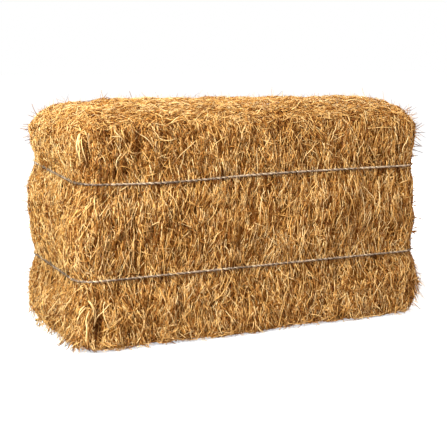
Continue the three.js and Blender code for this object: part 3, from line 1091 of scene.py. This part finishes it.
def hairsOn(path, count, spread, lean=None):
    # fine fibres that stand off the twine, or fan out from its frayed end
    picks = rng.integers(0, len(path), count)
    ways = unit(rng.normal(size=(count, 3)) * spread + (0 if lean is None else lean))
    roots = path[picks] + ways * twine["radius"] * twine["hairRoot"]
    lengths = rng.uniform(*twine["hairLength"], count)[:, None]
    tips = roots + ways * lengths + rng.normal(size=(count, 3)) * twine["hairBend"]
    lines = np.stack([roots, tips], 1)
    outs = np.repeat(np.cross(ways, rng.normal(size=(count, 3)))[:, None], 2, axis=1)
    widths = twine["hairWidth"] * np.array([[1.0, 0.5]]) * np.ones((count, 1))
    return {
        "lines": lines, "outs": outs, "widths": widths, "thick": widths, "roll": np.zeros(count),
        "across": rng.uniform(0.1, 0.9, count), "strip": np.full(count, strawSheet["strip"]),
        "start": rng.uniform(0.1, 0.9, count),
    }


def makeLoop(node, height, material):
    loop = loopPath(height)
    x, height = knotPlace(node, height)
    tight = twine["knotTightness"]
    parts = [strawMesh(strandsAlong(loop, True), sides=twine["sides"]),
             strawMesh(strandsAlong(knotPath(x, height), True, tight), sides=twine["sides"]),
             strawMesh(hairsOn(loop, twine["hairs"], twine["hairSpread"]))]
    for side, drop in twine["tails"]:
        tail = tailPath(x, height, side, drop)
        parts.append(strawMesh(strandsAlong(tail, False, tight), sides=twine["sides"]))
        frayed = hairsOn(tail[-2:], twine["fray"], twine["fraySpread"], tail[-1] - tail[-4])
        parts.append(strawMesh(frayed))
    cord = linked("cord_" + node, joinedMesh("cord_" + node, parts), material)
    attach(cord, "root")
    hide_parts(node)


twineMaterial = makeTwine()
for node, height in zip(twineNames, twineHeights):
    makeLoop(node, height, twineMaterial)
print("twine made")

floorLook = {
    "size": 60.0,
    "grey": 0.80,
    "reach": 4.0,  # how far from the bale the glow is full
    "glow": [  # weaker near the bale, a painted shadow that deepens the real shadow at its foot
        (0.00, (0.58, 0.60, 0.63)),
        (1.00, (0.75, 0.79, 0.86)),
    ],
}


def makeFloor():
    bm = bmesh.new()
    bmesh.ops.create_grid(bm, x_segments=1, y_segments=1, size=floorLook["size"] / 2)
    mesh = bpy.data.meshes.new("floor")
    bm.to_mesh(mesh)
    bm.free()
    look = Shader("paleFloor")
    grey = floorLook["grey"]
    place = look.node("ShaderNodeTexCoord", output=3)
    away = look.node("ShaderNodeVectorMath", {"operation": "LENGTH"}, place, output=1)
    glow = look.node("ShaderNodeValToRGB", {"stops": floorLook["glow"]}, away * (1 / floorLook["reach"]))
    floor = linked("floor", mesh, look.finish(
        Base_Color=(grey, grey, grey, 1), Roughness=1.0, Specular_IOR_Level=0.0,
        Emission_Color=glow, Emission_Strength=1.0,
    ))
    floor.visible_diffuse = False  # the floor's glow doesn't light the straw
    floor.visible_glossy = False


studio = {
    "world": 0.33,
    "worldColour": (1.0, 0.82, 0.57),
    "key": {"place": (-2.25, -1.05, 1.85), "size": 0.8, "power": 188, "colour": (0.90, 1.03, 0.99)},
    "fill": {"place": (-0.6, -3.2, 1.6), "size": 1.2, "power": 67, "colour": (0.99, 0.98, 0.98)},
    "back": {"place": (2.6, 2.4, 0.9), "size": 1.8, "power": 110, "colour": (1.00, 0.97, 0.92)},
}


def makeLights():
    world = bpy.data.worlds.new("studio")
    bpy.context.scene.world = world
    world.use_nodes = True
    nodes, links = world.node_tree.nodes, world.node_tree.links
    glow = nodes["Background"]
    glow.inputs["Color"].default_value = (*studio["worldColour"], 1)
    glow.inputs["Strength"].default_value = studio["world"]
    backdrop = nodes.new("ShaderNodeBackground")  # what the camera sees behind the floor
    backdrop.inputs["Color"].default_value = (1, 1, 1, 1)
    backdrop.inputs["Strength"].default_value = 1.0
    rays = nodes.new("ShaderNodeLightPath")
    either = nodes.new("ShaderNodeMixShader")
    links.new(rays.outputs["Is Camera Ray"], either.inputs["Fac"])
    links.new(glow.outputs[0], either.inputs[1])
    links.new(backdrop.outputs[0], either.inputs[2])
    links.new(either.outputs[0], nodes["World Output"].inputs["Surface"])
    for name in ("key", "fill", "back"):
        light = bpy.data.lights.new(name, "AREA")
        light.size = studio[name]["size"]
        light.energy = studio[name]["power"]
        light.color = studio[name]["colour"]
        lamp = bpy.data.objects.new(name, light)
        bpy.context.scene.collection.objects.link(lamp)
        place = Vector(studio[name]["place"])
        lamp.location = place
        lamp.rotation_euler = (Vector((0, 0, topHeight / 2)) - place).to_track_quat("-Z", "Y").to_euler()
    bpy.context.scene.view_settings.view_transform = "Standard"


viewpoint = {"place": (-0.997, -2.000, 0.562), "turn": 26.4, "dip": 9.06, "lens": 84.0, "sensor": 36.0}


def makeCamera():
    data = bpy.data.cameras.new("camera")
    data.lens = viewpoint["lens"]
    data.sensor_width = viewpoint["sensor"]
    camera = bpy.data.objects.new("camera", data)
    camera.location = viewpoint["place"]
    camera.rotation_euler = (math.radians(90 - viewpoint["dip"]), 0, math.radians(-viewpoint["turn"]))
    bpy.context.scene.collection.objects.link(camera)
    bpy.context.scene.camera = camera


makeFloor()
makeLights()
makeCamera()
print("studio made")
